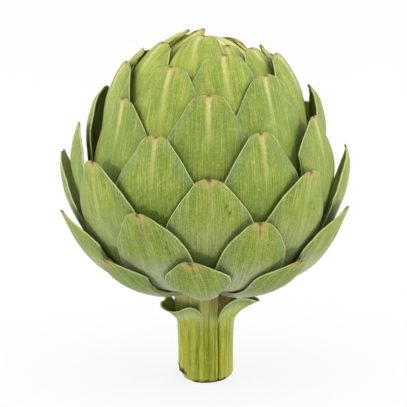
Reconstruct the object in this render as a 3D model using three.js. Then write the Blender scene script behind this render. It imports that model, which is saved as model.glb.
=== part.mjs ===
// A globe artichoke on a short, flat-cut stem. Millimetres, +Z up, front towards -Y.
// The head is built as it grows: rows of bracts nested inside each other, each bract its own solid,
// laid on a closed envelope around the middle of the head and fixed at its base to the receptacle
// on top of the stem. Angles are degrees: an azimuth turns from the front towards +X, and a polar
// angle is measured at the middle of the head, down from straight up.
import * as THREE from "three";

// ---- driving dimensions ----
const HEAD_CENTRE_Z = 82;
const STEM_RADIUS = 10.4;
const ROW_NESTING = 0.22; // how far a bract sinks inside the envelope, mm per degree below its row's top
const NESTING_START = 4; // degrees over which that sinking starts
const ROOT_GAP = 1.0; // clearance between one row's thick part and the next row in, mm
const SIDE_GAP = 0.6; // half the gap between neighbours in one row, degrees of azimuth
const EDGE_THICKNESS = 0.7; // margin and tip of every bract, mm
const BRACT_SCALE = 54; // distance from the middle of the head at which widths are measured, mm
const LEANING = 5; // degrees over which a leaning tip straightens
const TUCK_DEPTH = 1.8; // how far a tucked side sinks under its neighbour, mm
const TUCK_ROOM = 7; // how far it reaches in under there, degrees
const ACROSS = 4; // grid cells across a bract

// Outer envelope of the head: [polar angle, distance from the middle of the head].
const ENVELOPE = [
  [0, 53.2],
  [15, 52.8],
  [30, 52.3],
  [40, 51.6],
  [50, 50.8],
  [62, 50.6],
  [72, 51.8],
  [84, 54.2],
  [94, 55.6],
  [105, 57.3],
  [116, 59.3],
  [129, 60.8],
  [140, 59.7],
  [150, 58],
  [165, 57.4],
];

// Rows from the outside in. top: polar angle where the row's nesting starts. root: where its bases
// end. corner: how sharply its sides turn at their widest. narrowFrom, narrowTo: where a bract
// narrows to its foot, in mm below its tip. Each bract is
// [azimuth, polar angle of its tip, outward lean of its tip in mm, bulge of its face in mm, drift of
// its blade to one side of its tip in mm, width beside the row's, half the width of its foot in mm,
// side that tucks in under its neighbour].
const ROWS = [
  {
    top: 112,
    root: 161,
    thickness: 2.5,
    blunt: 2.6,
    slope: 1,
    halfWidth: 11.4,
    corner: 9,
    narrowFrom: 9,
    narrowTo: 24,
    cells: 7,
    bracts: [
      [-45, 114.9, 0.3, 0, 8.5, 0.88, 7.5, 0],
      [-6.6, 111.9, 0, 0, 4, 1.04, 5.5, 0],
      [41.5, 114.7, 0.3, 0, -8.5, 0.88, 7.5, 0],
      [104, 131, 0, 0, 0, 0.8, 8, 0],
      [154, 118, 0, 0, 1, 1, 6, 0],
      [206, 116, 0, 0, -2, 1, 6, 0],
      [258, 131, 0, 0, 0, 0.8, 8, 0],
    ],
  },
  {
    top: 98,
    root: 160,
    thickness: 2.8,
    blunt: 2.8,
    slope: 0.92,
    halfWidth: 14.8,
    corner: 4,
    narrowFrom: 20,
    narrowTo: 62,
    cells: 8,
    bracts: [
      [-74, 102, 1.5, 0.2, 8, 1.15, 6.5, 0],
      [-27.1, 94.8, 0, 0, 5, 1.05, 6.5, 0],
      [20.6, 97.4, 0, 0, 0, 0.94, 6.5, 0],
      [71.5, 100, 0.9, -0.2, -8, 1.1, 6.5, 0],
      [130, 97, 0.6, 0, 1, 1.2, 6.5, 0],
      [178, 97, 0, 0, -2, 1.2, 6.5, 0],
      [229, 96, 0.6, 0, 2, 1.2, 6.5, 0],
    ],
  },
  {
    top: 80,
    root: 156,
    thickness: 2.6,
    blunt: 3.2,
    slope: 0.87,
    halfWidth: 20.5,
    corner: 4,
    narrowFrom: 34,
    narrowTo: 75,
    cells: 8,
    bracts: [
      [-95, 83, 1.4, 1.5, 2, 1, 7, 0],
      [-53, 78.6, 0, 0, 6, 1.03, 7, 0],
      [1.1, 80.6, 0, 0, 1.2, 0.97, 7, 0],
      [46.7, 81.4, 0, 0, -5, 0.93, 7, 0],
      [88, 79, 0.8, 0.9, -2, 1, 7, 0],
      [152, 80, 0, 0.4, 2, 1.1, 7, 0],
      [206, 79, 0, 0, -1, 1.1, 7, 0],
    ],
  },
  {
    top: 63,
    root: 152,
    thickness: 3,
    blunt: 3.2,
    slope: 0.78,
    halfWidth: 24,
    corner: 4,
    narrowFrom: 40,
    narrowTo: 85,
    cells: 9,
    bracts: [
      [-83, 67.6, 1, 1.1, 1, 1.05, 7, 0],
      [-22.9, 64, 0, 0, 0.2, 1, 7, 0],
      [25.8, 62.8, 0, 0, 0, 0.98, 7, 0],
      [65.3, 60.6, 0, 0, -5, 1.1, 7, 0],
      [122, 64, 0, 0.3, 0, 1.1, 7, 0],
      [178, 65, 0, 0, 2, 1.1, 7, 0],
      [230, 63, 0, 0, -2, 1.1, 7, 0],
    ],
  },
  {
    top: 40,
    root: 148,
    thickness: 1.8,
    blunt: 4,
    slope: 0.93,
    halfWidth: 26,
    corner: 4,
    narrowFrom: 40,
    narrowTo: 100,
    cells: 10,
    bracts: [
      [-103, 51.8, 0.2, 3, 0, 1, 7, 0],
      [-53.5, 49.2, 0, 0, 3.5, 1, 7, 0],
      [1.9, 44.6, 0, 0, -0.6, 1, 7, 0],
      [42.5, 37.6, 0, 0, -5, 1, 7, -1],
      [94, 50.4, 0.8, 3.5, 0, 1, 7, 0],
      [148, 47, 0, 0, 1, 1, 7, 0],
      [204, 48, 0, 0, -1, 1, 7, 0],
    ],
  },
  {
    top: 27,
    root: 146,
    thickness: 1.8,
    blunt: 4.8,
    slope: 0.88,
    halfWidth: 24,
    corner: 4,
    narrowFrom: 40,
    narrowTo: 105,
    cells: 10,
    bracts: [
      [-76, 34.6, 1, 1.65, 3, 1, 7, 0],
      [-27.3, 31.2, 0, 0, 1, 1, 7, 0],
      [17.6, 24.2, 0, 0, -3, 1, 7, -1],
      [75, 29.8, 0.7, 1.1, 0, 1, 7, 0],
      [124, 34, 0, 0, 1, 1, 7, 0],
      [178, 32, 0, 0, -1, 1, 7, 0],
      [234, 33, 0, 0.5, 0, 1, 7, 0],
    ],
  },
  {
    top: 13,
    root: 143,
    thickness: 1.3,
    blunt: 4.4,
    slope: 0.8,
    halfWidth: 20,
    corner: 4,
    narrowFrom: 40,
    narrowTo: 110,
    cells: 11,
    bracts: [
      [-88, 26, 1.4, 2.2, 0, 1, 7, 0],
      [-62, 18.6, 0.9, 0.8, 2, 1, 7, 0],
      [-8.3, 7.8, 0, 0, -2.5, 1, 7, 0],
      [62, 20.8, 0.2, 0, -1, 1, 7, 0],
      [98, 23.5, 0.8, 0.2, 0, 1, 7, 0],
      [152, 20.5, 0, -1, 0, 1, 7, 0],
      [212, 18, 0, 0, 0, 1, 7, 0],
    ],
  },
  {
    top: 3,
    root: 140,
    thickness: 1.3,
    sink: 0.6,
    blunt: 4.2,
    slope: 0.8,
    halfWidth: 19,
    corner: 4,
    narrowFrom: 40,
    narrowTo: 115,
    cells: 11,
    bracts: [
      [-86, 6, 1.5, 1.5, 0, 1, 7, 0],
      [-50, 0.2, 1.4, -0.4, 0, 1, 7, 0],
      [40, 13, 0, -0.7, -4, 1, 7, 0],
      [112, 13, -0.4, -1.2, 0, 1, 7, 0],
      [190, 10, -0.6, -0.4, 0, 1, 7, 0],
    ],
  },
];

const artichoke = new THREE.Group();
artichoke.name = "artichoke";

// ---- shared geometry ----

// A smooth curve through [x, y] pairs in rising x.
function curveThrough(pairs) {
  const last = pairs.length - 1;
  const slopeAt = (i) => {
    const a = pairs[Math.max(i - 1, 0)];
    const b = pairs[Math.min(i + 1, last)];
    return (b[1] - a[1]) / (b[0] - a[0]);
  };
  return (x) => {
    let i = 0;
    while (i < last - 1 && x > pairs[i + 1][0]) i += 1;
    const width = pairs[i + 1][0] - pairs[i][0];
    const t = Math.min(Math.max((x - pairs[i][0]) / width, 0), 1);
    const s = t * t * (3 - 2 * t);
    const bump = t * (1 - t) * width;
    return (
      pairs[i][1] * (1 - s) +
      pairs[i + 1][1] * s +
      bump * ((1 - t) * slopeAt(i) - t * slopeAt(i + 1))
    );
  };
}

const envelope = curveThrough(ENVELOPE);
const radians = THREE.MathUtils.degToRad;
const degrees = THREE.MathUtils.radToDeg;
const smooth = (x, from, to) => THREE.MathUtils.smoothstep(x, from, to);

// How far inside the envelope a bract lies, this many degrees below its row's top.
function nesting(below) {
  const x = Math.max(below, 0);
  return ROW_NESTING * (x - NESTING_START * (1 - Math.exp(-x / NESTING_START)));
}

// The point at a polar angle, an azimuth and a distance from the middle of the head.
function headPoint(polar, azimuth, distance) {
  const t = radians(polar);
  const p = radians(azimuth);
  return new THREE.Vector3(
    distance * Math.sin(t) * Math.sin(p),
    -distance * Math.sin(t) * Math.cos(p),
    HEAD_CENTRE_Z + distance * Math.cos(t),
  );
}

// A closed solid between two grids of the same size: the outer one seen from outside with its rows
// rising and its columns running to the right, the inner one behind it.
function solidBetween(outer, inner) {
  const rows = outer.length - 1;
  const columns = outer[0].length - 1;
  const positions = [];
  const quad = (a, b, c, d) => {
    for (const v of [a, b, c, a, c, d]) positions.push(v.x, v.y, v.z);
  };
  for (let j = 0; j < rows; j += 1) {
    for (let i = 0; i < columns; i += 1) {
      quad(outer[j][i], outer[j][i + 1], outer[j + 1][i + 1], outer[j + 1][i]);
      quad(inner[j][i], inner[j + 1][i], inner[j + 1][i + 1], inner[j][i + 1]);
    }
    quad(inner[j][0], outer[j][0], outer[j + 1][0], inner[j + 1][0]);
    quad(outer[j][columns], inner[j][columns], inner[j + 1][columns], outer[j + 1][columns]);
  }
  for (let i = 0; i < columns; i += 1) {
    quad(inner[0][i], inner[0][i + 1], outer[0][i + 1], outer[0][i]);
    quad(outer[rows][i], outer[rows][i + 1], inner[rows][i + 1], inner[rows][i]);
  }
  const geometry = new THREE.BufferGeometry();
  geometry.setAttribute("position", new THREE.Float32BufferAttribute(positions, 3));
  geometry.computeVertexNormals();
  return geometry;
}

function add(name, geometry, material) {
  const mesh = new THREE.Mesh(geometry, material);
  mesh.name = name;
  artichoke.add(mesh);
}

// ---- bracts: leathery green scales, thin at the margin and fleshy towards the base ----
const bractMaterial = new THREE.MeshStandardMaterial({
  color: 0x8b9d46,
  roughness: 0.55,
  metalness: 0,
});

// Half the width of a bract, this many mm below its tip: a blunt point, straight sides, a broad
// middle and a base that narrows to its foot.
function halfWidthAt(row, width, foot, below) {
  const widest = row.halfWidth * width;
  const rising = 0.5 + row.slope * width * below + row.blunt * (1 - Math.exp(-below / 0.35));
  const k = row.corner;
  const broad = (rising * widest) / (rising ** k + widest ** k) ** (1 / k);
  const share = smooth(below, row.narrowFrom, row.narrowTo);
  return Math.max(broad * (1 - share) + Math.min(broad, foot) * share, 1.6);
}

function bractGeometry(row, bract, leftLimit, rightLimit) {
  const [azimuth, tip, lean, belly, drift, width, foot, tucked] = bract;
  const outer = [];
  const inner = [];
  const span = row.root - tip;
  const scale = radians(1) * BRACT_SCALE;
  for (let j = 0; j <= row.cells; j += 1) {
    const fromTip = span * (1 - j / row.cells) ** 1.25;
    const below = fromTip * scale;
    const half = halfWidthAt(row, width, foot, below);
    const outerRow = [];
    const innerRow = [];
    for (let i = 0; i <= ACROSS; i += 1) {
      const across = (2 * i) / ACROSS - 1;
      const lateral = across * half;
      // A great circle at a right angle to the bract's midline keeps the margins straight.
      const arc = (lateral + (drift * below) / (below + 6)) / BRACT_SCALE;
      const drop = (1.1 * Math.abs(across) ** 3 * Math.exp(-below / 1.3)) / scale;
      const t = radians(tip + fromTip + drop);
      const polar = degrees(Math.acos(Math.cos(arc) * Math.cos(t)));
      const turn = degrees(Math.atan2(Math.sin(arc), Math.cos(arc) * Math.sin(t)));
      const left = -leftLimit - (tucked < 0 ? TUCK_ROOM : 0);
      const right = rightLimit + (tucked > 0 ? TUCK_ROOM : 0);
      const limited = THREE.MathUtils.clamp(turn, left, right);
      const bulge = smooth(fromTip, -4, 9) * (1 - smooth(fromTip, 14, 34));
      const tuck = smooth(lateral * tucked, 6, 13);
      const distance =
        envelope(polar) -
        nesting(polar - row.top) -
        (row.sink ?? 0) +
        lean * Math.exp(-fromTip / LEANING) +
        belly * bulge -
        TUCK_DEPTH * tuck;
      const flesh = smooth(below, 2, 30) * (1 - across ** 2) * (1 - tuck);
      const thickness = EDGE_THICKNESS + (row.thickness - EDGE_THICKNESS) * flesh;
      outerRow.push(headPoint(polar, azimuth + limited, distance));
      innerRow.push(headPoint(polar, azimuth + limited, distance - thickness));
    }
    outer.push(outerRow);
    inner.push(innerRow);
  }
  return solidBetween(outer, inner);
}

ROWS.forEach((row, rowIndex) => {
  const count = row.bracts.length;
  row.bracts.forEach((bract, i) => {
    const before = row.bracts[(i + count - 1) % count][0];
    const after = row.bracts[(i + 1) % count][0];
    const toBefore = (bract[0] - before + 360) % 360;
    const toAfter = (after - bract[0] + 360) % 360;
    const name = `bract_row${rowIndex + 1}_${i + 1}`;
    const geometry = bractGeometry(row, bract, toBefore / 2 - SIDE_GAP, toAfter / 2 - SIDE_GAP);
    add(name, geometry, bractMaterial);
  });
});

// ---- inner bud: the innermost bracts, folded so tightly that they make one closed bud ----
const budMaterial = new THREE.MeshStandardMaterial({
  color: 0xc2bf74,
  roughness: 0.6,
  metalness: 0,
});

// A closed solid of revolution whose radius follows the ribs or folds of `swell`.
function lathed(profile, around, swell) {
  const positions = [];
  const point = ([r, z], k) => {
    const a = (2 * Math.PI * (k % around)) / around;
    const radius = r * (1 + swell(a, z));
    return new THREE.Vector3(radius * Math.sin(a), -radius * Math.cos(a), z);
  };
  for (let j = 0; j < profile.length - 1; j += 1) {
    for (let k = 0; k < around; k += 1) {
      const a = point(profile[j], k);
      const b = point(profile[j], k + 1);
      const c = point(profile[j + 1], k + 1);
      const d = point(profile[j + 1], k);
      if (profile[j][0] > 0) for (const v of [a, b, c]) positions.push(v.x, v.y, v.z);
      if (profile[j + 1][0] > 0) for (const v of [a, c, d]) positions.push(v.x, v.y, v.z);
    }
  }
  const geometry = new THREE.BufferGeometry();
  geometry.setAttribute("position", new THREE.Float32BufferAttribute(positions, 3));
  geometry.computeVertexNormals();
  return geometry;
}

const innerRow = ROWS[ROWS.length - 1];
const budProfile = [[0, 62.6]];
for (let polar = 138; polar >= 8; polar -= 10) {
  const inside = envelope(polar) - nesting(polar - innerRow.top) - innerRow.sink;
  const distance = inside - innerRow.thickness - 0.5 - 1.7 * smooth(polar, 10, 40);
  budProfile.push([
    distance * Math.sin(radians(polar)),
    HEAD_CENTRE_Z + distance * Math.cos(radians(polar)),
  ]);
}
budProfile.push([0, 132.6]);
const fold = (a, z) => -0.02 * Math.abs(Math.sin(2.5 * a)) * smooth(z, 100, 125);
add("inner_bud", lathed(budProfile, 20, fold), budMaterial);

// ---- stem: ribbed green stalk, flat-cut below, swelling above into the receptacle ----
const stemMaterial = new THREE.MeshStandardMaterial({
  color: 0x86902f,
  roughness: 0.6,
  metalness: 0,
});
const stemProfile = [
  [0, 0],
  [STEM_RADIUS - 0.3, 0],
  [STEM_RADIUS, 1],
  [STEM_RADIUS, 12],
  [STEM_RADIUS + 0.2, 20],
  [STEM_RADIUS + 0.9, 26.5],
  [STEM_RADIUS + 1.5, 31],
  [STEM_RADIUS + 1.2, 35.5],
  [STEM_RADIUS + 1.4, 39.5],
  [13, 43],
  [14.8, 47.5],
  [15.6, 52],
  [15.8, 57],
  [14.2, 60],
  [0, 61],
];
const ribs = (a, z) => -0.03 * Math.abs(Math.sin(4.5 * a + 0.4)) * (1 - smooth(z, 26, 34));
add("stem", lathed(stemProfile, 36, ribs), stemMaterial);

// ---- stem leaves: two small leaves of the stem, cut short just under the head ----
// Each lies along the stem at its foot and flares outwards to a wavy rim.
// A station is [azimuth, radius of the rim, height of the rim].
const LEFT_LEAF = [
  [-112, 17.4, 31.8],
  [-106, 16.4, 30.8],
  [-98, 16, 29.9],
  [-90, 17.3, 29.5],
  [-82, 17.5, 28.7],
  [-74, 16.8, 28],
  [-65, 15.6, 27.7],
  [-55, 14.4, 28.1],
  [-45, 14.1, 29],
  [-36, 14, 30.2],
  [-26, 13.8, 31],
  [-16, 13.2, 30.3],
  [-8, 13.2, 28.2],
  [-3, 12.9, 26.2],
];
const RIGHT_LEAF = [
  [25, 13.3, 25.6],
  [28, 13.3, 28],
  [36, 13.3, 30.6],
  [48, 13.3, 32.1],
  [60, 14.2, 32.8],
  [67, 15.6, 32.9],
  [74, 18.2, 32.1],
  [80, 20.6, 30.9],
  [86, 20.8, 31],
  [94, 18.5, 31.6],
  [102, 15.5, 30.8],
];
const LEAF_FOOT_Z = 20;
const LEAF_THICKNESS = 1;
const LEAF_CLEARANCE = 0.4; // gap between a leaf and the stem
const stemRadius = curveThrough(stemProfile.slice(2, 9).map(([r, z]) => [z, r]));

function leafGeometry(rim) {
  const up = 7;
  const outer = [];
  const inner = [];
  for (let j = 0; j <= up; j += 1) {
    const rise = j / up;
    const outerRow = [];
    const innerRow = [];
    for (const [azimuth, rimRadius, rimZ] of rim) {
      const a = radians(azimuth);
      const z = LEAF_FOOT_Z + (rimZ - LEAF_FOOT_Z) * rise;
      const foot = stemRadius(z) + LEAF_CLEARANCE;
      const flare = Math.max(rimRadius - LEAF_THICKNESS - stemRadius(rimZ) - LEAF_CLEARANCE, 0);
      const radius = foot + flare * rise ** 3.4;
      const place = (r) => new THREE.Vector3(r * Math.sin(a), -r * Math.cos(a), z);
      innerRow.push(place(radius));
      outerRow.push(place(radius + LEAF_THICKNESS));
    }
    outer.push(outerRow);
    inner.push(innerRow);
  }
  return solidBetween(outer, inner);
}
add("stem_leaf_left", leafGeometry(LEFT_LEAF), bractMaterial);
add("stem_leaf_right", leafGeometry(RIGHT_LEAF), bractMaterial);

export default artichoke;
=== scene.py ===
import math
import random

import bmesh
import bpy
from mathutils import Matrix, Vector, noise


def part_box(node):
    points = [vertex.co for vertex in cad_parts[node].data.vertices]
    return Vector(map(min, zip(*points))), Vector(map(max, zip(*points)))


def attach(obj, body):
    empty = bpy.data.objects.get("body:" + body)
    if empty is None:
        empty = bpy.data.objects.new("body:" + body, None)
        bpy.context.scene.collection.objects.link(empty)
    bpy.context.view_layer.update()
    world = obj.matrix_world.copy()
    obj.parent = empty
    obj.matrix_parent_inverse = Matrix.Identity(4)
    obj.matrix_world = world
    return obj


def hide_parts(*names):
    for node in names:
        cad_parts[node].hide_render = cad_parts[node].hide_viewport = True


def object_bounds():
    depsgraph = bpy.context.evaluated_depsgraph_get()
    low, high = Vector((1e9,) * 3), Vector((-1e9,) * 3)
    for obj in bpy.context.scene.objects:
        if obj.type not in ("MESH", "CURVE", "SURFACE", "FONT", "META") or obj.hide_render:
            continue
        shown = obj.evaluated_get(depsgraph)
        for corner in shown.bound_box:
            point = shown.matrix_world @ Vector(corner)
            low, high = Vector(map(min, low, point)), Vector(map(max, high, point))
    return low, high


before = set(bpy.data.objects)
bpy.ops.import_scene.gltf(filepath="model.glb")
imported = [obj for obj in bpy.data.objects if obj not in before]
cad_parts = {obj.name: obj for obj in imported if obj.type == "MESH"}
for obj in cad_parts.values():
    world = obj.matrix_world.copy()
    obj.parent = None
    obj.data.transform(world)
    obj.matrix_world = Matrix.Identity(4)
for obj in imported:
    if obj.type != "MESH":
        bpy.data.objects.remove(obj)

cad_low, cad_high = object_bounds()
MM = 0.001


# ---- Stem -------------------------------------------------------------------------------------
# A thick fibrous stalk, cut across at the foot and swelling under the head into the receptacle
# that the bracts grow from. Two stem leaves run down it as broad ribs with a deep groove beside
# them, and the skin is brown where the knife chipped the edge.
STEM_PROFILE = (
    (0.0, 0.05),
    (4.0, 0.0),
    (8.0, 0.0),
    (9.6, 0.05),
    (10.1, 0.35),
    (10.35, 1.1),
    (10.4, 4.0),
    (10.35, 8.0),
    (10.3, 12.0),
    (10.4, 17.0),
    (10.6, 21.0),
    (11.0, 25.0),
    (11.6, 28.5),
    (11.8, 31.5),
    (11.6, 35.5),
    (11.8, 39.5),
    (13.0, 43.0),
    (14.8, 47.5),
    (15.6, 52.0),
    (15.8, 57.0),
    (14.2, 60.0),
    (0.0, 61.0),
)
GROOVE_ANGLE = 28.0      # where the deep groove runs, degrees from the front towards +X
GROOVE_HALF_WIDTH = 1.9  # degrees
GROOVE_DEPTH = 1.0       # mm
GROOVE_WANDER = 1.5      # how far it strays to either side as it runs up, degrees
THREAD_HEIGHT = 0.10     # the fine threads in the skin, mm
UNEVENNESS = 0.16        # the broad ups and downs of the skin, mm
CHIP_ANGLE = -60         # where the edge of the cut is chipped, degrees
CHIP_HALF_WIDTH = 24     # degrees
CHIP_LEFT_END = -84      # degrees
CHIP_HEIGHT = 5.4        # at its left end, mm
CHIP_SLOPE = 0.075       # how fast it gets lower to the right, mm for each degree
CHIP_DEPTH = 3.6         # mm
STAIN_ANGLE = -66        # the middle of the brown skin above the chip, degrees
STAIN_HALF_WIDTH = 33    # degrees
STAIN_HEIGHT = 7.0       # at the chip's left end, mm
STAIN_SLOPE = 0.08       # mm for each degree
STAINED_EDGE = 1.2       # the brown along the rest of the knife's edge, mm
RIBS = (                 # angle, half width in degrees, height in mm
    (-62, 20, 0.55),
    (-30, 14, 0.40),
    (-9, 5, 0.22),
    (6, 3.2, -0.30),
    (14, 3.2, -0.22),
    (21, 2.6, -0.30),
    (44, 10, 0.45),
    (76, 14, 0.30),
    (104, 8, -0.35),
    (128, 12, 0.35),
    (158, 9, -0.30),
    (182, 13, 0.40),
    (212, 8, -0.40),
    (238, 13, 0.35),
    (262, 7, -0.35),
)


def curve_through(pairs, x):
    """The smooth curve through (x, y) pairs in rising x."""
    last = len(pairs) - 1
    i = 0
    while i < last - 1 and x > pairs[i + 1][0]:
        i += 1

    def slope_at(k):
        a = pairs[max(k - 1, 0)]
        b = pairs[min(k + 1, last)]
        return (b[1] - a[1]) / (b[0] - a[0])

    width = pairs[i + 1][0] - pairs[i][0]
    t = min(max((x - pairs[i][0]) / width, 0.0), 1.0)
    s = t * t * (3 - 2 * t)
    bump = t * (1 - t) * width
    ends = pairs[i][1] * (1 - s) + pairs[i + 1][1] * s
    return ends + bump * ((1 - t) * slope_at(i) - t * slope_at(i + 1))


def smooth_step(x, low, high):
    """Rises smoothly from 0 to 1 as x goes from low to high."""
    t = min(max((x - low) / (high - low), 0.0), 1.0)
    return t * t * (3 - 2 * t)


def rib_height(degrees, z):
    """How far the stem's skin stands out or in at an angle round it, in mm."""
    up = 0.0
    for angle, half_width, height in RIBS:
        off = (degrees - angle + 180) % 360 - 180
        up += height * math.exp(-((off / half_width) ** 2))
    off = (degrees - GROOVE_ANGLE - GROOVE_WANDER * math.sin(z / 6) + 180) % 360 - 180
    up -= GROOVE_DEPTH * math.exp(-((off / GROOVE_HALF_WIDTH) ** 2))
    up += THREAD_HEIGHT * math.sin(math.radians(degrees) * 31 + z * 0.05)
    up += UNEVENNESS * noise.noise(Vector((degrees * 0.09, z * 0.05, 3.1)))
    return up * smooth_step(z, -2, 3) * (1 - 0.6 * smooth_step(z, 33, 40))


def chip_depth(degrees, z):
    """How far the chipped edge of the cut is broken back on the left, in mm."""
    off = (degrees - CHIP_ANGLE + 180) % 360 - 180
    round_it = math.exp(-((off / CHIP_HALF_WIDTH) ** 4))
    ragged = 0.5 + 0.5 * noise.noise(Vector((degrees * 0.16, z * 0.9, 7.7)))
    top = CHIP_HEIGHT - CHIP_SLOPE * (degrees - CHIP_LEFT_END)
    return CHIP_DEPTH * round_it * (0.4 + 0.9 * ragged) * (1 - smooth_step(z, top - 2.2, top))


def chip_stain(degrees, z):
    """1 where the skin above the chip and along the knife's edge has turned brown."""
    ragged = 0.9 * noise.noise(Vector((degrees * 0.11, z * 0.5, 4.3)))
    off = (degrees - STAIN_ANGLE + 180) % 360 - 180
    over_chip = STAIN_HEIGHT - STAIN_SLOPE * (degrees - CHIP_LEFT_END)
    over_chip *= math.exp(-((off / STAIN_HALF_WIDTH) ** 4))
    top = max(over_chip, STAINED_EDGE) + ragged
    return 1 - smooth_step(z, top - 0.5, top + 0.5)


def finished_piece(name, mesh_data, material, slot, *nodes):
    """Makes a piece from a bmesh, lays it on the part's body and hides the nodes it stands for."""
    mesh = bpy.data.meshes.new(name)
    mesh_data.to_mesh(mesh)
    mesh_data.free()
    for polygon in mesh.polygons:
        polygon.use_smooth = True
    piece = bpy.data.objects.new(name, mesh)
    bpy.context.collection.objects.link(piece)
    mesh.materials.append(material)
    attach(piece, "root")
    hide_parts(*nodes)


def srgb(red, green, blue):
    """A colour given as 0 to 255, as the shader's own linear colour."""
    linear = []
    for value in (red, green, blue):
        c = value / 255
        linear.append(c / 12.92 if c <= 0.04045 else ((c + 0.055) / 1.055) ** 2.4)
    return (*linear, 1.0)


class Finish:
    """A material under construction: each method adds one node and returns its output."""

    def __init__(self, name, roughness, specular=0.5):
        self.material = bpy.data.materials.new(name)
        self.material.use_nodes = True
        self.tree = self.material.node_tree
        self.shader = self.tree.nodes["Principled BSDF"]
        self.shader.inputs["Roughness"].default_value = roughness
        self.shader.inputs["Specular IOR Level"].default_value = specular

    def put(self, socket, value):
        """Links an output to a socket, or sets the socket to a plain value."""
        if isinstance(value, bpy.types.NodeSocket):
            self.tree.links.new(value, socket)
        else:
            socket.default_value = value

    def attribute(self, name):
        made = self.tree.nodes.new("ShaderNodeAttribute")
        made.attribute_name = name
        return made.outputs["Fac"]

    def math(self, operation, *values):
        made = self.tree.nodes.new("ShaderNodeMath")
        made.operation = operation
        for i, value in enumerate(values):
            self.put(made.inputs[i], value)
        return made.outputs[0]

    def ramp(self, value, low, high, start=0.0, end=1.0):
        """Rises smoothly from start to end as value goes from low to high."""
        made = self.tree.nodes.new("ShaderNodeMapRange")
        made.interpolation_type = "SMOOTHSTEP"
        if low > high:
            low, high, start, end = high, low, end, start
        self.put(made.inputs["Value"], value)
        made.inputs["From Min"].default_value = low
        made.inputs["From Max"].default_value = high
        made.inputs["To Min"].default_value = start
        made.inputs["To Max"].default_value = end
        return made.outputs["Result"]

    def grain(self, x, y, z, detail=2.0, roughness=0.5):
        """Soft noise from 0 to 1 at a point given by three numbers."""
        point = self.tree.nodes.new("ShaderNodeCombineXYZ")
        for i, value in enumerate((x, y, z)):
            self.put(point.inputs[i], value)
        made = self.tree.nodes.new("ShaderNodeTexNoise")
        made.inputs["Scale"].default_value = 1.0
        made.inputs["Detail"].default_value = detail
        made.inputs["Roughness"].default_value = roughness
        self.tree.links.new(point.outputs[0], made.inputs["Vector"])
        return made.outputs["Fac"]

    def stretched(self, across, along, slice_at, detail=2.0, roughness=0.5):
        """Noise over a skin: each direction is an output and its waves per mm, or per degree."""
        x = self.math("MULTIPLY", *across)
        y = self.math("MULTIPLY", *along)
        return self.grain(x, y, slice_at, detail, roughness)

    def tint(self, skin, value, low, high, share, colour):
        """Lays a colour over the skin, up to a share, as value goes from low to high."""
        return self.blend(self.ramp(value, low, high, 0.0, share), skin, colour)

    def blend(self, share, first, second):
        """The first colour where share is 0, the second where it is 1."""
        made = self.tree.nodes.new("ShaderNodeMix")
        made.data_type = "RGBA"
        self.put(made.inputs["Factor"], share)
        self.put(made.inputs["A"], first)
        self.put(made.inputs["B"], second)
        return made.outputs["Result"]

    def bump(self, height, distance):
        made = self.tree.nodes.new("ShaderNodeBump")
        made.inputs["Strength"].default_value = 1.0
        made.inputs["Distance"].default_value = distance
        self.put(made.inputs["Height"], height)
        self.tree.links.new(made.outputs[0], self.shader.inputs["Normal"])

    def done(self, colour):
        self.put(self.shader.inputs["Base Color"], colour)
        return self.material


def stalk_skin(finish, angle, rise, relief):
    """The stalk's colour, from its fibres, with painted shade in its furrows; the stem leaves carry it
    on at their foot.
    """
    fibre = finish.stretched((angle, 0.75), (rise, 0.13), 1.7, 3.0, 0.65)
    broad = finish.stretched((angle, 0.11), (rise, 0.035), 5.2)
    patch = finish.stretched((angle, 0.05), (rise, 0.16), 9.6, 3.0)
    fleck = finish.stretched((angle, 1.3), (rise, 1.2), 2.2, 4.0, 0.7)
    skin = finish.blend(finish.ramp(broad, 0.34, 0.62), srgb(112, 128, 2), srgb(160, 164, 36))
    skin = finish.tint(skin, patch, 0.46, 0.70, 0.55, srgb(140, 138, 10))
    skin = finish.tint(skin, fibre, 0.46, 0.68, 0.70, srgb(190, 190, 90))
    skin = finish.tint(skin, fleck, 0.50, 0.68, 0.35, srgb(198, 200, 110))
    skin = finish.tint(skin, fleck, 0.46, 0.30, 0.35, srgb(84, 98, 4))
    skin = finish.tint(skin, fibre, 0.44, 0.26, 0.55, srgb(98, 110, 2))
    # Painted shade: the skin turns dark green where it sinks into a furrow or the groove.
    skin = finish.tint(skin, relief, 0.10, -0.60, 0.85, srgb(84, 98, 8))
    return finish.tint(skin, rise, 18.0, 30.0, 0.40, srgb(178, 186, 116)), fibre


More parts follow.
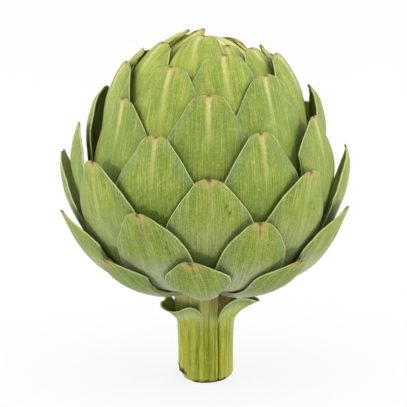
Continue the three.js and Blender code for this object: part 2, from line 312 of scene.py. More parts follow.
def stem_finish():
    """Green stalk skin: long fibres, painted shade in the furrows between the ribs, a painted highlight
    down the sides, brown at the cut edge.
    """
    finish = Finish("stem_skin", 0.55, 0.22)
    angle = finish.attribute("angle")
    rise = finish.attribute("rise")
    relief = finish.attribute("relief")
    cut = finish.attribute("cut")
    skin, fibre = stalk_skin(finish, angle, rise, relief)
    # Painted highlight: the stalk turns paler from its sides round to the back, as light catching its
    # round edges.
    painted_rim_light = finish.math("ABSOLUTE", angle)
    skin = finish.tint(skin, painted_rim_light, 50.0, 80.0, 0.40, srgb(196, 194, 116))
    tan = finish.blend(finish.ramp(fibre, 0.3, 0.7), srgb(122, 114, 44), srgb(182, 174, 100))
    skin = finish.blend(finish.ramp(rise, 27.0, 32.0, 0.0, 0.65), skin, tan)
    # Painted shade: the neck darkens to olive in the gap behind the left stem leaf.
    olive = finish.blend(finish.ramp(fibre, 0.3, 0.7), srgb(50, 60, 4), srgb(98, 108, 22))
    skin = finish.blend(finish.attribute("olive"), skin, olive)
    brown = finish.blend(finish.ramp(fibre, 0.3, 0.7), srgb(48, 38, 2), srgb(106, 90, 26))
    skin = finish.blend(finish.attribute("brown"), skin, brown)
    chipped = finish.blend(finish.ramp(fibre, 0.35, 0.65), srgb(38, 24, 6), srgb(92, 64, 26))
    skin = finish.blend(finish.attribute("chip"), skin, chipped)
    pith = finish.blend(fibre, srgb(186, 186, 128), srgb(158, 158, 84))
    skin = finish.blend(cut, skin, pith)
    finish.bump(fibre, 0.00045)
    return finish.done(skin)


STEM_AROUND = 240        # faces round the stem
STEM_STEP = 0.55         # their height, mm
GROWN_FROM = 8.5         # radius where the cut face starts to turn up into the skin, mm
GROWN_TO = 9.9           # radius where all is skin, mm
CUT_RADIUS = 9.7         # radius of the pale cut face, mm
SIDE_LIFT = 1.2          # how far the knife's edge rises at the sides of the cut, mm
CHIP_LIFT = 0.5          # how far the chipped face rises for each mm that it goes in
stem_mesh = bmesh.new()
ring = []
for index in range(len(STEM_PROFILE) - 1):
    (r0, z0), (r1, z1) = STEM_PROFILE[index], STEM_PROFILE[index + 1]
    pieces = max(1, round(math.hypot(r1 - r0, z1 - z0) / STEM_STEP))
    for step in range(pieces):
        t = step / pieces
        ring.append(stem_mesh.verts.new(((r0 + (r1 - r0) * t) * MM, 0, (z0 + (z1 - z0) * t) * MM)))
ring.append(stem_mesh.verts.new((0, 0, STEM_PROFILE[-1][1] * MM)))
edges = [stem_mesh.edges.new(pair) for pair in zip(ring, ring[1:])]
bmesh.ops.spin(
    stem_mesh,
    geom=ring + edges,
    cent=(0, 0, 0),
    axis=(0, 0, 1),
    angle=math.tau,
    steps=STEM_AROUND,
    use_merge=True,
)
bmesh.ops.remove_doubles(stem_mesh, verts=stem_mesh.verts, dist=1e-6)
bmesh.ops.recalc_face_normals(stem_mesh, faces=stem_mesh.faces)
keys = ("angle", "rise", "relief", "cut", "chip", "olive", "brown")
layers = {key: stem_mesh.verts.layers.float.new(key) for key in keys}
for vert in stem_mesh.verts:
    x, y, z = vert.co / MM
    radius = math.hypot(x, y)
    degrees = math.degrees(math.atan2(x, -y))
    on_side = smooth_step(radius, GROWN_FROM, GROWN_TO)
    relief = rib_height(degrees, z)
    chip = chip_depth(degrees, z) * on_side
    share = (radius + relief * on_side - chip) / radius if radius > 0.5 else 1.0
    to_side = abs(math.sin(math.radians(degrees))) ** 3
    lift = SIDE_LIFT * on_side * to_side * (1 - smooth_step(z, 0.0, 3.0))
    lift += CHIP_LIFT * chip
    vert[layers["angle"]] = abs(degrees) if abs(degrees) > 90 else degrees
    vert[layers["rise"]] = z
    vert[layers["relief"]] = relief * on_side
    vert[layers["cut"]] = 1.0 if z < 0.3 and radius < CUT_RADIUS else 0.0
    vert[layers["chip"]] = chip_stain(degrees, z) * on_side
    # Painted shade: the olive band on the neck in the gap behind the left stem leaf.
    painted_shade_behind_left = smooth_step(degrees, -95, -80) * (1 - smooth_step(degrees, -16, -4))
    vert[layers["olive"]] = painted_shade_behind_left * smooth_step(z, 26, 28) * (1 - smooth_step(z, 31, 34))
    behind_right = 0.5 * smooth_step(degrees, 4, 12) + 0.5 * smooth_step(degrees, 20, 32)
    behind_right *= 1 - smooth_step(degrees, 66, 84)
    brown_from = 25 + 3.5 * smooth_step(degrees, 26, 44)
    vert[layers["brown"]] = 0.95 * behind_right * smooth_step(z, brown_from, brown_from + 3)
    vert.co = Vector((x * share, y * share, z + lift)) * MM
finished_piece("stalk", stem_mesh, stem_finish(), "stem", "stem")


# ---- Bracts -----------------------------------------------------------------------------------
# The leathery scales that make the head: blunt notched tips, thin pale margins, straight fibres
# from base to tip. They grow from the receptacle in staggered rows, each row lying over the foot
# of the next, so a bract is laid on the head's own outline and sinks inside it row by row.
HEAD_CENTRE_Z = 82.0
HEAD_OUTLINE = (
    (0, 53.2),
    (15, 52.8),
    (30, 52.3),
    (40, 51.6),
    (50, 50.8),
    (62, 50.6),
    (72, 51.8),
    (84, 54.2),
    (94, 55.6),
    (105, 57.3),
    (116, 59.3),
    (129, 60.8),
    (140, 59.7),
    (150, 58.0),
    (165, 57.4),
)
NESTING = 0.22           # mm a bract sinks for each degree below its row's top
NESTING_START = 4.0      # degrees over which the sinking starts
SIDE_GAP = 0.6           # half the gap between neighbours in a row, degrees
MARGIN_THICKNESS = 0.45  # mm
SKIN_INSET = 0.20        # how far the skin lies inside the part's own faces, mm
LEANING = 5.0            # degrees over which a leaning tip straightens
TUCK_DEPTH = 1.8         # how far a tucked side sinks under its neighbour, mm
TUCK_ROOM = 7.0          # how far it reaches in under there, degrees
REACH = 54.0             # the radius at which widths across a bract are measured, mm

# Rows from the outside in. Angles are in degrees and lengths in mm. top is the polar angle where
# a row starts to sink, root where its bases end. Each bract is its azimuth, the polar angle of
# its tip, how far its tip leans and its face bulges out, how far its blade runs to one side of
# its tip, its width beside the row's, half its foot's width, and the side that tucks under its
# neighbour.
ROWS = (
    dict(top=112, root=161, flesh=2.5, blunt=2.6, slope=1.0, half_width=11.4, corner=9,
         narrow_from=9, narrow_to=24, sink=0.0,
         bracts=((-45, 114.9, 0.3, 0, 8.5, 0.88, 7.5, 0), (-6.6, 111.9, 0, 0, 4.0, 1.04, 5.5, 0),
                 (41.5, 114.7, 0.3, 0, -8.5, 0.88, 7.5, 0), (104, 131, 0, 0, 0, 0.8, 8, 0),
                 (154, 118, 0, 0, 1, 1, 6, 0), (206, 116, 0, 0, -2, 1, 6, 0),
                 (258, 131, 0, 0, 0, 0.8, 8, 0))),
    dict(top=98, root=160, flesh=2.8, blunt=2.8, slope=0.92, half_width=14.8, corner=4,
         narrow_from=20, narrow_to=62, sink=0.0,
         bracts=((-74, 102.0, 1.5, 0.2, 8, 1.15, 6.5, 0), (-27.1, 94.8, 0, 0, 5, 1.05, 6.5, 0),
                 (20.6, 97.4, 0, 0, 0, 0.94, 6.5, 0), (71.5, 100.0, 0.9, -0.2, -8, 1.1, 6.5, 0),
                 (130, 97, 0.6, 0, 1, 1.2, 6.5, 0), (178, 97, 0, 0, -2, 1.2, 6.5, 0),
                 (229, 96, 0.6, 0, 2, 1.2, 6.5, 0))),
    dict(top=80, root=156, flesh=2.6, blunt=3.2, slope=0.87, half_width=20.5, corner=4,
         narrow_from=34, narrow_to=75, sink=0.0,
         bracts=((-95, 83.0, 1.4, 1.5, 2, 1, 7, 0), (-53, 78.6, 0, 0, 6, 1.03, 7, 0),
                 (1.1, 80.6, 0, 0, 1.2, 0.97, 7, 0), (46.7, 81.4, 0, 0, -5, 0.93, 7, 0),
                 (88, 79.0, 0.8, 0.9, -2, 1, 7, 0), (152, 80, 0, 0.4, 2, 1.1, 7, 0),
                 (206, 79, 0, 0, -1, 1.1, 7, 0))),
    dict(top=63, root=152, flesh=3.0, blunt=3.2, slope=0.78, half_width=24, corner=4,
         narrow_from=40, narrow_to=85, sink=0.0,
         bracts=((-83, 67.6, 1.0, 1.1, 1, 1.05, 7, 0), (-22.9, 64.0, 0, 0, 0.2, 1, 7, 0),
                 (25.8, 62.8, 0, 0, 0, 0.98, 7, 0), (65.3, 60.6, 0, 0, -5, 1.1, 7, 0),
                 (122, 64, 0, 0.3, 0, 1.1, 7, 0), (178, 65, 0, 0, 2, 1.1, 7, 0),
                 (230, 63, 0, 0, -2, 1.1, 7, 0))),
    dict(top=40, root=148, flesh=1.8, blunt=4.0, slope=0.93, half_width=26, corner=4,
         narrow_from=40, narrow_to=100, sink=0.0,
         bracts=((-103, 51.8, 0.2, 3.0, 0, 1, 7, 0), (-53.5, 49.2, 0, 0, 3.5, 1, 7, 0),
                 (1.9, 44.6, 0, 0, -0.6, 1, 7, 0), (42.5, 37.6, 0, 0, -5, 1, 7, -1),
                 (94, 50.4, 0.8, 3.5, 0, 1, 7, 0), (148, 47, 0, 0, 1, 1, 7, 0),
                 (204, 48, 0, 0, -1, 1, 7, 0))),
    dict(top=27, root=146, flesh=1.8, blunt=4.8, slope=0.88, half_width=24, corner=4,
         narrow_from=40, narrow_to=105, sink=0.0,
         bracts=((-76, 34.6, 1.0, 1.65, 3, 1, 7, 0), (-27.3, 31.2, 0, 0, 1, 1, 7, 0),
                 (17.6, 24.2, 0, 0, -3, 1, 7, -1), (75, 29.8, 0.7, 1.1, 0, 1, 7, 0),
                 (124, 34, 0, 0, 1, 1, 7, 0), (178, 32, 0, 0, -1, 1, 7, 0),
                 (234, 33, 0, 0.5, 0, 1, 7, 0))),
    dict(top=13, root=143, flesh=1.3, blunt=4.4, slope=0.80, half_width=20, corner=4,
         narrow_from=40, narrow_to=110, sink=0.0,
         bracts=((-88, 26, 1.4, 2.2, 0, 1, 7, 0), (-62, 18.6, 0.9, 0.8, 2, 1, 7, 0),
                 (-8.3, 7.8, 0, 0, -2.5, 1, 7, 0), (62, 20.8, 0.2, 0, -1, 1, 7, 0),
                 (98, 23.5, 0.8, 0.2, 0, 1, 7, 0), (152, 20.5, 0, -1.0, 0, 1, 7, 0),
                 (212, 18, 0, 0, 0, 1, 7, 0))),
    dict(top=3, root=140, flesh=1.3, blunt=4.2, slope=0.80, half_width=19, corner=4,
         narrow_from=40, narrow_to=115, sink=0.6,
         bracts=((-86, 6, 1.5, 1.5, 0, 1, 7, 0), (-50, 0.2, 1.4, -0.4, 0, 1, 7, 0),
                 (40, 13, 0, -0.7, -4, 1, 7, 0), (112, 13, -0.4, -1.2, 0, 1, 7, 0),
                 (190, 10, -0.6, -0.4, 0, 1, 7, 0))),
)


def bract_finish():
    """Waxy green skin: fine fibres, bluish flanks, a pale rim and midline, a brown notch, and painted
    shade beside overlying margins and on a few bracts.
    """
    finish = Finish("bract_skin", 0.50, 0.30)
    finish.shader.inputs["Sheen Weight"].default_value = 0.07
    finish.shader.inputs["Sheen Roughness"].default_value = 0.45
    finish.shader.inputs["Sheen Tint"].default_value = srgb(222, 228, 205)
    below = finish.attribute("below")
    lateral = finish.attribute("lateral")
    edge = finish.attribute("edge")
    fibre_line = finish.attribute("fibre_line")
    seed = finish.attribute("seed")
    low = finish.attribute("low")
    inside = finish.attribute("inside")
    beside = finish.attribute("beside")
    scar = finish.attribute("scar")
    painted_shade_share = finish.attribute("painted_shade_share")

    off_middle = finish.math("ABSOLUTE", lateral)
    fibre = finish.stretched((fibre_line, 4.0), (below, 0.07), seed, 3.0, 0.65)
    streak = finish.stretched((fibre_line, 0.40), (below, 0.05), finish.math("ADD", seed, 31.0))
    cloud = finish.stretched((lateral, 0.20), (below, 0.14), finish.math("ADD", seed, 67.0), 4.0)
    mottle = finish.stretched((lateral, 1.1), (below, 0.7), finish.math("ADD", seed, 12.0), 3.0)
    speck = finish.stretched((lateral, 4.0), (below, 2.6), finish.math("ADD", seed, 45.0), 3.0)

    lower_green = finish.blend(finish.ramp(streak, 0.30, 0.70), srgb(96, 117, 20), srgb(122, 138, 36))
    upper_green = finish.blend(finish.ramp(streak, 0.30, 0.70), srgb(128, 147, 32), srgb(163, 173, 58))
    skin = finish.blend(low, upper_green, lower_green)
    middle_rows = finish.math("MULTIPLY", finish.ramp(low, 0.22, 0.42), finish.ramp(low, 0.72, 0.58))
    middle_rows = finish.math("MULTIPLY", middle_rows, 0.70)
    skin = finish.blend(middle_rows, skin, srgb(102, 127, 26))
    skin = finish.tint(skin, cloud, 0.42, 0.68, 0.45, srgb(94, 122, 36))
    skin = finish.tint(skin, cloud, 0.45, 0.25, 0.40, srgb(166, 168, 76))
    # Painted shade: the listed bracts are darkened towards a shaded green.
    skin = finish.blend(painted_shade_share, skin, srgb(84, 116, 26))
    flank = finish.math(
        "MULTIPLY",
        finish.ramp(edge, 5.5, 0.3, 0.0, 0.80),
        finish.ramp(below, 3.0, 14.0, 0.30, 1.0),
    )
    skin = finish.blend(flank, skin, srgb(90, 120, 76))
    # Painted shade: a darker green band beside the margins of the bracts that lie over this one.
    skin = finish.tint(skin, beside, 2.6, 0.3, 0.25, srgb(78, 112, 48))
    bloom = finish.math(
        "MULTIPLY",
        finish.ramp(below, 13.0, 26.0, 0.0, 0.85),
        finish.ramp(low, 0.55, 1.0),
    )
    bloom = finish.math("MULTIPLY", bloom, finish.ramp(fibre, 0.25, 0.6, 0.6, 1.0))
    skin = finish.blend(bloom, skin, srgb(166, 164, 154))
    skin = finish.tint(skin, fibre, 0.48, 0.68, 0.46, srgb(194, 198, 106))
    skin = finish.tint(skin, fibre, 0.47, 0.30, 0.52, srgb(78, 104, 22))
    skin = finish.tint(skin, mottle, 0.54, 0.70, 0.20, srgb(186, 194, 116))
    skin = finish.tint(skin, mottle, 0.46, 0.30, 0.24, srgb(88, 118, 34))
    skin = finish.tint(skin, speck, 0.51, 0.66, 0.34, srgb(190, 197, 98))
    skin = finish.tint(skin, speck, 0.47, 0.32, 0.34, srgb(84, 106, 30))

    wander = finish.math("ADD", off_middle, finish.ramp(mottle, 0.3, 0.7, -0.35, 0.35))
    fading = finish.ramp(below, 27.0, 1.0, 0.0, 0.76)
    ridge = finish.math("MULTIPLY", finish.ramp(wander, 1.6, 0.1), fading)
    ridge = finish.math("MULTIPLY", ridge, finish.ramp(low, 1.0, 0.35, 0.2, 1.0))
    skin = finish.blend(ridge, skin, srgb(208, 203, 130))
    wander = finish.math("ADD", off_middle, finish.ramp(mottle, 0.3, 0.7, -0.25, 0.25))
    fading = finish.ramp(below, 15.0, 2.0, 0.0, 0.85)
    crease = finish.math("MULTIPLY", finish.ramp(wander, 0.60, 0.10), fading)
    crease = finish.math("MULTIPLY", crease, finish.ramp(low, 0.5, 0.85))
    skin = finish.blend(crease, skin, srgb(108, 68, 26))
    near_tip = finish.ramp(below, 5.0, 0.3, 0.0, 0.60)
    blush = finish.math("MULTIPLY", near_tip, finish.ramp(off_middle, 6.0, 1.0))
    skin = finish.blend(blush, skin, srgb(182, 160, 92))
    notch = finish.math("MULTIPLY", finish.ramp(below, 2.4, 0.6), finish.ramp(off_middle, 1.3, 0.3))
    skin = finish.blend(notch, skin, srgb(112, 74, 22))
    at_tip = finish.ramp(below, 1.0, 0.2, 0.0, 0.85)
    lip = finish.math("MULTIPLY", at_tip, finish.ramp(off_middle, 3.6, 1.4))
    lip = finish.math("MULTIPLY", lip, finish.ramp(mottle, 0.38, 0.52))
    skin = finish.blend(lip, skin, srgb(116, 70, 28))

    off_rim = finish.ramp(edge, 0.3, 1.2, 0.0, 0.55)
    shade = finish.math("MULTIPLY", finish.ramp(beside, 1.4, 0.2), off_rim)
    skin = finish.blend(shade, skin, srgb(50, 76, 10))
    on_rim = finish.ramp(edge, 0.42, 0.10, 0.0, 0.9)
    rim = finish.math("MULTIPLY", on_rim, finish.ramp(below, 0.5, 2.0))
    rim_colour = finish.blend(finish.ramp(mottle, 0.45, 0.65), srgb(220, 220, 142), srgb(202, 188, 108))
    rim_colour = finish.tint(rim_colour, low, 0.6, 1.0, 0.6, srgb(160, 174, 104))
    skin = finish.blend(rim, skin, rim_colour)
    skin = finish.tint(skin, scar, 0.2, 0.8, 0.85, srgb(86, 66, 22))
    lining = finish.blend(finish.ramp(streak, 0.35, 0.65), srgb(104, 114, 34), srgb(134, 144, 60))
    lining = finish.blend(finish.ramp(low, 0.30, 0.16), lining, srgb(228, 216, 130))
    lining = finish.blend(finish.ramp(low, 0.50, 0.64), lining, srgb(172, 184, 104))
    skin = finish.blend(inside, skin, lining)

    finish.bump(fibre, 0.00022)
    return finish.done(skin)


def nesting(degrees_below):
    """How far inside the head's outline a bract lies, this far below its row's top."""
    x = max(degrees_below, 0.0)
    return NESTING * (x - NESTING_START * (1 - math.exp(-x / NESTING_START)))


def on_head(polar, azimuth, distance):
    """The point at a polar angle and an azimuth in degrees, this many mm from the head's middle."""
    t = math.radians(polar)
    p = math.radians(azimuth)
    across = distance * math.sin(t)
    up = HEAD_CENTRE_Z + distance * math.cos(t)
    return Vector((across * math.sin(p), -across * math.cos(p), up)) * MM


def half_width_at(row, width, foot, below):
    """Half a bract's width this far below its tip: blunt point, straight sides, narrow base."""
    widest = row["half_width"] * width
    rising = 0.5 + row["slope"] * width * below + row["blunt"] * (1 - math.exp(-below / 0.35))
    corner = row["corner"]
    broad = rising * widest / (rising ** corner + widest ** corner) ** (1 / corner)
    share = smooth_step(below, row["narrow_from"], row["narrow_to"])
    return broad * (1 - share) + min(broad, foot) * share


def beside_margin(row_index, polar, azimuth):
    """How far outside the margin of the nearest bract that lies over it a point is, in mm."""
    t = math.radians(polar)
    nearest = FAR_AWAY
    for over in ROWS[max(row_index - 2, 0):row_index]:
        for other in over["bracts"]:
            away = (azimuth - other[0] + 180) % 360 - 180
            if abs(away) > 50:
                continue
            a = math.radians(away)
            side = math.sin(t) * math.sin(a)
            ahead = math.degrees(math.atan2(math.sin(t) * math.cos(a), math.cos(t)))
            below = (ahead - other[1]) * math.radians(1) * REACH
            if below < -6:
                continue
            lateral = math.asin(side) * REACH - other[4] * max(below, 0) / (max(below, 0) + 6)
            beside = abs(lateral) - half_width_at(over, other[5], other[6], max(below, 0))
            nearest = min(nearest, max(-below, beside * 0.75))
    return max(nearest, 0.0)


SCARS = {                # bract: flecks as mm below the tip, mm to the right, half length, half width
    "bract_row3_3": ((10.8, 5.6, 1.7, 0.40), (13.0, 7.0, 1.2, 0.45), (11.4, 7.6, 0.8, 0.35)),
    "bract_row2_2": ((11.5, 7.4, 1.5, 0.28), (14.5, 8.0, 0.9, 0.25), (8.0, -5.4, 0.8, 0.3)),
    "bract_row3_4": ((15.0, 6.0, 0.8, 0.3),),
    "bract_row7_3": ((9.0, -4.0, 1.2, 0.3),),
    "bract_row2_3": ((9.0, 3.6, 0.9, 0.25),),
}
PAINTED_SHADE_BRACTS = {               # bracts darkened with painted shade, and by how much
    "bract_row1_1": 0.60,
    "bract_row1_3": 0.30,
    "bract_row2_2": 0.28,
    "bract_row4_3": 0.15,
}
ALONG = 60               # faces from tip to base, closer together at the tip
ACROSS = 30              # faces from side to side
NOTCH_DEPTH = 1.5        # the notch in the tip, mm
NOTCH_HALF_WIDTH = 1.1   # mm
TOOTH_HEIGHT = 0.5       # the little point in the notch, mm
WAVY_MARGIN = 0.30       # how far the margin strays in and out, mm
SHOULDER_DROP = 1.1      # how far the tip's corners are rounded off, mm
ROUNDED_SIDES = 1.3      # how far a bract's sides turn in towards the head, mm
ROLLED_MARGIN = 0.6      # how far the last of the margin turns in, mm
TIP_BEND = 0.3           # how far the tip turns in, mm
MIDRIB_HEIGHT = 0.35     # mm, in the upper rows
MIDRIB_SINKING = 0.8     # how much lower it is in the low rows, where it is a crease, mm
RIB_DEPTH = 0.05         # the fine lengthwise ribs, mm
SWELLING = 0.15          # the broad ups and downs of the skin, mm
FAR_AWAY = 9.0           # where nothing lies over the skin, mm


def bract_mesh(row_index, bract, left_limit, right_limit, scars, painted_shade, seed):
    """One bract: a flat grid given its thickness by extrusion, then laid on the head."""
    row = ROWS[row_index]
    low = 1 - row_index / (len(ROWS) - 1)
    azimuth, tip, lean, belly, drift, width, foot, tucked = bract
    per_degree = math.radians(1) * REACH
    span = row["root"] - tip
    left_limit += TUCK_ROOM * (tucked < 0)
    right_limit += TUCK_ROOM * (tucked > 0)
    made = bmesh.new()
    bmesh.ops.create_grid(made, x_segments=ACROSS, y_segments=ALONG, size=1.0)
    outside = bmesh.ops.extrude_face_region(made, geom=made.faces[:])
    extruded = [item for item in outside["geom"] if isinstance(item, bmesh.types.BMVert)]
    bmesh.ops.translate(made, verts=extruded, vec=(0, 0, 1))
    keys = ("below", "lateral", "edge", "fibre_line", "seed")
    keys += ("low", "inside", "beside", "scar", "painted_shade_share")
    layer = {key: made.verts.layers.float.new(key) for key in keys}
    for vert in made.verts:
        s, v, outer = vert.co
        u = s * (1 + 0.25 * (1 - s * s))
        from_tip = span * ((1 - v) / 2) ** 1.6
        below = from_tip * per_degree
        half = half_width_at(row, width, foot, below)
        wavy = WAVY_MARGIN * noise.noise(Vector((below * 0.18, 4.0 if u > 0 else -4.0, seed)))
        half += wavy * min(below / 4, 1)
        lateral = u * half
        edge = half - abs(lateral)
        tooth = TOOTH_HEIGHT * math.exp(-((lateral / 0.28) ** 2))
        notch = NOTCH_DEPTH * math.exp(-((lateral / NOTCH_HALF_WIDTH) ** 2)) - tooth
        shoulder = SHOULDER_DROP * abs(u) ** 3
        drop = (notch + shoulder - 0.4) * math.exp(-below / 1.3)
        arc = (lateral + drift * below / (below + 6)) / REACH
        t = math.radians(tip + from_tip + drop / per_degree)
        polar = math.degrees(math.acos(math.cos(arc) * math.cos(t)))
        turn = math.degrees(math.atan2(math.sin(arc), math.cos(arc) * math.sin(t)))
        turn = min(max(turn, -left_limit), right_limit)
        distance = curve_through(HEAD_OUTLINE, polar) - nesting(polar - row["top"]) - row["sink"]
        distance += lean * math.exp(-from_tip / LEANING)
        distance += belly * smooth_step(from_tip, -4, 9) * (1 - smooth_step(from_tip, 14, 34))
        tuck = smooth_step(lateral * tucked, 6, 13)
        distance -= SKIN_INSET + TUCK_DEPTH * tuck
        distance -= (1 - tuck) * ROUNDED_SIDES * u * u * smooth_step(below, 2, 10)
        distance -= (1 - tuck) * ROLLED_MARGIN * math.exp(-edge / 1.5) * smooth_step(below, 0, 6)
        distance -= TIP_BEND * math.exp(-below / 3)
        middle = math.exp(-((lateral / 1.0) ** 2)) * math.exp(-below / 13)
        distance += middle * (MIDRIB_HEIGHT - MIDRIB_SINKING * smooth_step(low, 0.35, 0.8))
        ribs = 1 + math.sin(lateral * 2.3 + seed)
        distance -= RIB_DEPTH * ribs * smooth_step(below, 2, 8)
        swell = noise.noise(Vector((lateral * 0.11, below * 0.09, seed)))
        distance -= SWELLING * (1 + swell)
        thickness = MARGIN_THICKNESS
        flesh = smooth_step(below, 2, 30) * (1 - u * u) * (1 - tuck)
        thickness += (row["flesh"] - 0.5 - MARGIN_THICKNESS) * flesh
        if outer < 0.5:
            distance -= thickness
        vert[layer["below"]] = below + drop * 0.4
        vert[layer["lateral"]] = lateral
        vert[layer["edge"]] = edge
        vert[layer["fibre_line"]] = lateral * (1 + 0.3 * math.exp(-below / 12))
        vert[layer["seed"]] = seed
        vert[layer["low"]] = low
        # How far the outer skin lies from the margins over it, which the painted shade in the skin
        # follows.
        beside = beside_margin(row_index, polar, azimuth + turn) if outer > 0.5 else FAR_AWAY
        vert[layer["beside"]] = beside
        for down, right, long, wide in scars:
            aside = lateral - right + 0.25 * (below - down)
            off = ((below - down) / long) ** 2 + (aside / wide) ** 2
            vert[layer["scar"]] = max(vert[layer["scar"]], 1.1 * math.exp(-off))
        vert[layer["painted_shade_share"]] = painted_shade
        vert[layer["inside"]] = 0.0 if outer > 0.5 else 1.0
        vert.co = on_head(polar, azimuth + turn, distance)
    bmesh.ops.recalc_face_normals(made, faces=made.faces)
    return made


random.seed(11)
bract_skin = bract_finish()
for row_index, row in enumerate(ROWS):
    bracts = row["bracts"]
    for index, bract in enumerate(bracts):
        before = (bract[0] - bracts[index - 1][0]) % 360
        after = (bracts[(index + 1) % len(bracts)][0] - bract[0]) % 360
        node = f"bract_row{row_index + 1}_{index + 1}"
        seed = random.uniform(0, 90)
        limits = (before / 2 - SIDE_GAP, after / 2 - SIDE_GAP)
        scars = SCARS.get(node, ())
        painted_shade = PAINTED_SHADE_BRACTS.get(node, 0.0)
        made = bract_mesh(row_index, bract, *limits, scars, painted_shade, seed)
        finished_piece("skin_of_" + node, made, bract_skin, "bracts", node)


# ---- Stem leaves ------------------------------------------------------------------------------
# The two small leaves of the stem, cut short when the head was trimmed. Each leaves the stem's
# own skin well below the neck, flares outwards and ends in a wavy rim with an olive lining.
STEM_LEAVES = {          # along the rim: azimuth in degrees, then radius and height in mm
    "stem_leaf_left": (
        (-3, 11.2, 25.6),
        (-8, 12.2, 28.2),
        (-16, 13.2, 30.3),
        (-26, 13.8, 31.0),
        (-36, 14.0, 30.2),
        (-45, 14.1, 29.0),
        (-55, 14.4, 28.1),
        (-65, 15.6, 27.7),
        (-74, 16.8, 28.0),
        (-82, 17.5, 28.7),
        (-90, 17.3, 29.5),
        (-98, 16.0, 29.9),
        (-106, 16.4, 30.8),
        (-112, 17.4, 31.8),
    ),
    "stem_leaf_right": (
        (25, 11.2, 25.0),
        (28, 12.0, 28.0),
        (36, 12.6, 30.6),
        (48, 13.2, 32.1),
        (60, 14.2, 32.8),
        (67, 15.6, 32.9),
        (74, 18.2, 32.1),
        (80, 20.6, 30.9),
        (86, 20.8, 31.0),
        (94, 18.5, 31.6),
        (102, 15.5, 30.8),
    ),
}
LEAF_FOOT_Z = 19.0       # height where the leaves part from the stem, mm
LEAF_THICKNESS = 1.0     # mm
LEAF_ACROSS = 90         # faces round the stem
LEAF_ALONG = 30          # faces from foot to rim
LEAF_SINK = 0.4          # how far the foot lies inside the stem's skin, mm
END_SINK = 0.9           # how much further its two ends do, mm


def stem_leaf_finish():
    """Stalk-green at the foot, blue-green at the rim with painted highlights on the fold and the edge,
    olive on the lining.
    """
    finish = Finish("stem_leaf_skin", 0.55, 0.22)
    inside = finish.attribute("inside")
    rise = finish.attribute("rise")
    turn = finish.attribute("turn")
    height = finish.attribute("height")
    foot, fibre = stalk_skin(finish, turn, height, finish.attribute("relief"))
    blade = finish.blend(finish.ramp(fibre, 0.3, 0.7), srgb(104, 130, 66), srgb(146, 160, 100))
    skin = finish.blend(finish.ramp(rise, 0.52, 0.98), foot, blade)
    # Painted highlight: a whitish band across the fold just below the rim.
    before_rim = finish.ramp(rise, 0.92, 0.74, 0.0, 0.22)
    fold = finish.math("MULTIPLY", finish.ramp(rise, 0.50, 0.70), before_rim)
    skin = finish.blend(fold, skin, srgb(200, 206, 160))
    # Painted highlight: the rim's edge turns pale.
    skin = finish.tint(skin, rise, 0.93, 1.0, 0.75, srgb(200, 208, 144))
    olive = finish.blend(finish.ramp(fibre, 0.35, 0.65), srgb(76, 84, 12), srgb(130, 140, 44))
    skin = finish.blend(inside, skin, olive)
    finish.bump(fibre, 0.0003)
    return finish.done(skin)


def stalk_radius(z):
    """The stem's own radius in mm at a height on its bare part."""
    return curve_through([(height, radius) for radius, height in STEM_PROFILE[6:18]], z)


stem_leaf_skin = stem_leaf_finish()
for node, stations in STEM_LEAVES.items():
    made = bmesh.new()
    bmesh.ops.create_grid(made, x_segments=LEAF_ACROSS, y_segments=LEAF_ALONG, size=1.0)
    outside = bmesh.ops.extrude_face_region(made, geom=made.faces[:])
    extruded = [item for item in outside["geom"] if isinstance(item, bmesh.types.BMVert)]
    bmesh.ops.translate(made, verts=extruded, vec=(0, 0, 1))
    keys = ("inside", "rise", "turn", "height", "relief")
    layer = {key: made.verts.layers.float.new(key) for key in keys}
    first, last = stations[0][0], stations[-1][0]
    ordered = sorted(stations)
    for vert in made.verts:
        s, v, outer = vert.co
        turn = first + (last - first) * (s + 1) / 2
        rim_radius = curve_through([(k[0], k[1]) for k in ordered], turn)
        rim_z = curve_through([(k[0], k[2]) for k in ordered], turn)
        up = (v + 1) / 2
        z = LEAF_FOOT_Z + (rim_z - LEAF_FOOT_Z) * up
        start = stalk_radius(z) + rib_height(turn, z) * (1 - up)
        flare = rim_radius - stalk_radius(rim_z)
        radius = start - LEAF_SINK * (1 - up) + flare * up ** 3.0
        radius -= LEAF_THICKNESS if outer < 0.5 else 0.0
        end_fade = smooth_step(min(s + 1, 1 - s), 0.0, 0.05)
        radius -= END_SINK * (1 - end_fade) * (1 - up)
        vert[layer["inside"]] = 0.0 if outer > 0.5 else 1.0
        vert[layer["rise"]] = up
        vert[layer["turn"]] = turn
        vert[layer["relief"]] = rib_height(turn, z) * (1 - up)
        vert[layer["height"]] = z
        azimuth = math.radians(turn)
        vert.co = Vector((radius * math.sin(azimuth), -radius * math.cos(azimuth), z)) * MM
    bmesh.ops.recalc_face_normals(made, faces=made.faces)
    finished_piece("skin_of_" + node, made, stem_leaf_skin, "bracts", node)


# ---- Inner bud --------------------------------------------------------------------------------
# The innermost bracts, folded into a closed pale bud that fills the head. Only its top shows,
# in the chinks between the tips of the last row.
FOLDS = 5                # innermost bracts that can be told apart round the bud
FOLD_LIFT = 0.55         # how far the free side of one stands over the next, mm
FOLD_TWIST = 0.022       # how far the folds wind round, folds for each degree down
BUD_AROUND = 200         # faces round the bud
BUD_ALONG = 90           # faces from its top to its foot
BUD_GAP = 0.6            # between the bud and the last row, mm
BUD_SHOULDER = 1.2       # how much further in the bud lies below its top, mm


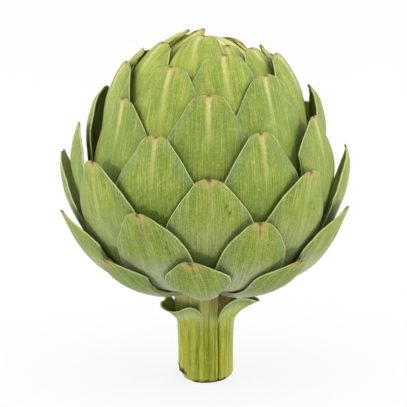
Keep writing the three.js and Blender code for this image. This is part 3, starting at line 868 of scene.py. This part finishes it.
def bud_finish():
    """Yellow-green fibrous skin, paler at each fold's free side, with a thin brown rim and painted
    shade where each fold tucks under.
    """
    finish = Finish("bud_skin", 0.5)
    fold = finish.attribute("fold")
    across = finish.attribute("across")
    polar = finish.attribute("polar")
    fibre = finish.stretched((across, 3.2), (polar, 0.10), 4.0, 3.0)
    skin = finish.blend(finish.ramp(fibre, 0.30, 0.70), srgb(150, 154, 56), srgb(214, 206, 124))
    # Painted shade: darker where each fold starts, under the raised free side of the one before.
    skin = finish.tint(skin, fold, 0.25, 0.0, 0.7, srgb(122, 128, 40))
    skin = finish.tint(skin, fold, 0.70, 0.98, 0.7, srgb(226, 214, 150))
    skin = finish.tint(skin, polar, 8.0, 1.5, 0.8, srgb(168, 120, 58))
    finish.bump(fibre, 0.0003)
    return finish.done(skin)


bud_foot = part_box("inner_bud")[0][2]
last_row = ROWS[-1]
bud_mesh = bmesh.new()
bmesh.ops.create_uvsphere(bud_mesh, u_segments=BUD_AROUND, v_segments=BUD_ALONG, radius=1.0)
layer = {key: bud_mesh.verts.layers.float.new(key) for key in ("fold", "across", "polar")}
for vert in bud_mesh.verts:
    polar = math.degrees(math.acos(min(max(vert.co.z, -1), 1)))
    azimuth = math.degrees(math.atan2(vert.co.x, -vert.co.y))
    inside = curve_through(HEAD_OUTLINE, polar) - nesting(polar - last_row["top"])
    inside -= last_row["sink"] + last_row["flesh"]
    inside -= BUD_GAP + BUD_SHOULDER * smooth_step(polar, 10, 40)
    fold = (azimuth * FOLDS / 360 + polar * FOLD_TWIST) % 1.0
    drop = smooth_step(fold, 0.96, 1.0)
    inside -= FOLD_LIFT * ((1 - fold) * (1 - drop) + drop) * smooth_step(polar, 0, 4)
    fold_radius = inside * math.sin(math.radians(polar))
    vert[layer["fold"]] = fold
    vert[layer["across"]] = (fold - 0.5) * math.radians(360 / FOLDS) * fold_radius
    vert[layer["polar"]] = polar
    place = on_head(polar, azimuth, inside)
    place.z = max(place.z, bud_foot + SKIN_INSET * MM)
    vert.co = place
bmesh.ops.recalc_face_normals(bud_mesh, faces=bud_mesh.faces)
finished_piece("folded_bud", bud_mesh, bud_finish(), "inner_bracts", "inner_bud")


# ---- Studio -----------------------------------------------------------------------------------
# A pale floor that keeps the shadow, an even white surround and three soft lamps: a weak one in
# front and above, and a broad one at each side. The camera looks a little down on the head.
FLOOR_HALF_SIDE = 6.0    # m
FLOOR_GREY = (0.15, 0.15, 0.15, 1.0)
WHITE = (1.0, 1.0, 1.0, 1.0)
FLOOR_GLOW = 0.845       # light the floor sends to the part
FLOOR_GLOW_SEEN = 0.787  # light it sends to the camera, so that it shows as white
SURROUND = 1.19          # light the surround sends to the part
SURROUND_SEEN = 0.975    # and to the camera
floor_finish = Finish("studio_floor", 0.9, 0.0)
light_path = floor_finish.tree.nodes.new("ShaderNodeLightPath")
floor_finish.shader.inputs["Base Color"].default_value = FLOOR_GREY
floor_finish.shader.inputs["Emission Color"].default_value = WHITE
seen = light_path.outputs["Is Camera Ray"]
glow = floor_finish.ramp(seen, 0.0, 1.0, FLOOR_GLOW, FLOOR_GLOW_SEEN)
floor_finish.put(floor_finish.shader.inputs["Emission Strength"], glow)
floor_mesh = bmesh.new()
bmesh.ops.create_grid(floor_mesh, x_segments=2, y_segments=2, size=FLOOR_HALF_SIDE)
floor_data = bpy.data.meshes.new("floor")
floor_mesh.to_mesh(floor_data)
floor_mesh.free()
floor = bpy.data.objects.new("floor", floor_data)
bpy.context.collection.objects.link(floor)
floor_data.materials.append(floor_finish.material)

world = bpy.data.worlds.new("studio")
bpy.context.scene.world = world
world.use_nodes = True
surround = world.node_tree.nodes["Background"]
surround.inputs["Color"].default_value = WHITE
path = world.node_tree.nodes.new("ShaderNodeLightPath")
strength = world.node_tree.nodes.new("ShaderNodeMapRange")
strength.inputs["To Min"].default_value = SURROUND
strength.inputs["To Max"].default_value = SURROUND_SEEN
world.node_tree.links.new(path.outputs["Is Camera Ray"], strength.inputs["Value"])
world.node_tree.links.new(strength.outputs["Result"], surround.inputs["Strength"])

centre = (cad_low + cad_high) / 2
SOFTBOXES = (            # name, place beside the part's middle, diameter in metres, watts
    ("softbox_key", Vector((-0.25, -0.75, 0.85)), 0.9, 1.4),
    ("softbox_right", Vector((1.05, -0.12, 0.30)), 1.3, 7.2),
    ("softbox_left", Vector((-1.05, -0.08, 0.30)), 1.3, 5.6),
)
for name, place, size, watts in SOFTBOXES:
    lamp_data = bpy.data.lights.new(name, "AREA")
    lamp_data.shape = "DISK"
    lamp_data.size = size
    lamp_data.energy = watts
    lamp = bpy.data.objects.new(name, lamp_data)
    bpy.context.collection.objects.link(lamp)
    lamp.location = centre + place
    lamp.rotation_euler = (-place).to_track_quat("-Z", "Y").to_euler()

CAMERA_LENS = 174.9      # mm
CAMERA_SENSOR = 36.0     # mm
CAMERA_ELEVATION = math.radians(14)
CAMERA_DISTANCE = 0.75   # m
CAMERA_TARGET = Vector((-0.0008, 0.0, 0.0685))
camera_data = bpy.data.cameras.new("camera")
camera_data.lens = CAMERA_LENS
camera_data.sensor_width = CAMERA_SENSOR
camera = bpy.data.objects.new("camera", camera_data)
bpy.context.collection.objects.link(camera)
back = Vector((0, -math.cos(CAMERA_ELEVATION), math.sin(CAMERA_ELEVATION)))
camera.location = CAMERA_TARGET + back * CAMERA_DISTANCE
camera.rotation_euler = (-back).to_track_quat("-Z", "Y").to_euler()
camera_data.clip_start = 0.01
camera_data.clip_end = 50.0
bpy.context.scene.camera = camera
bpy.context.scene.view_settings.view_transform = "Standard"

bpy.context.view_layer.update()
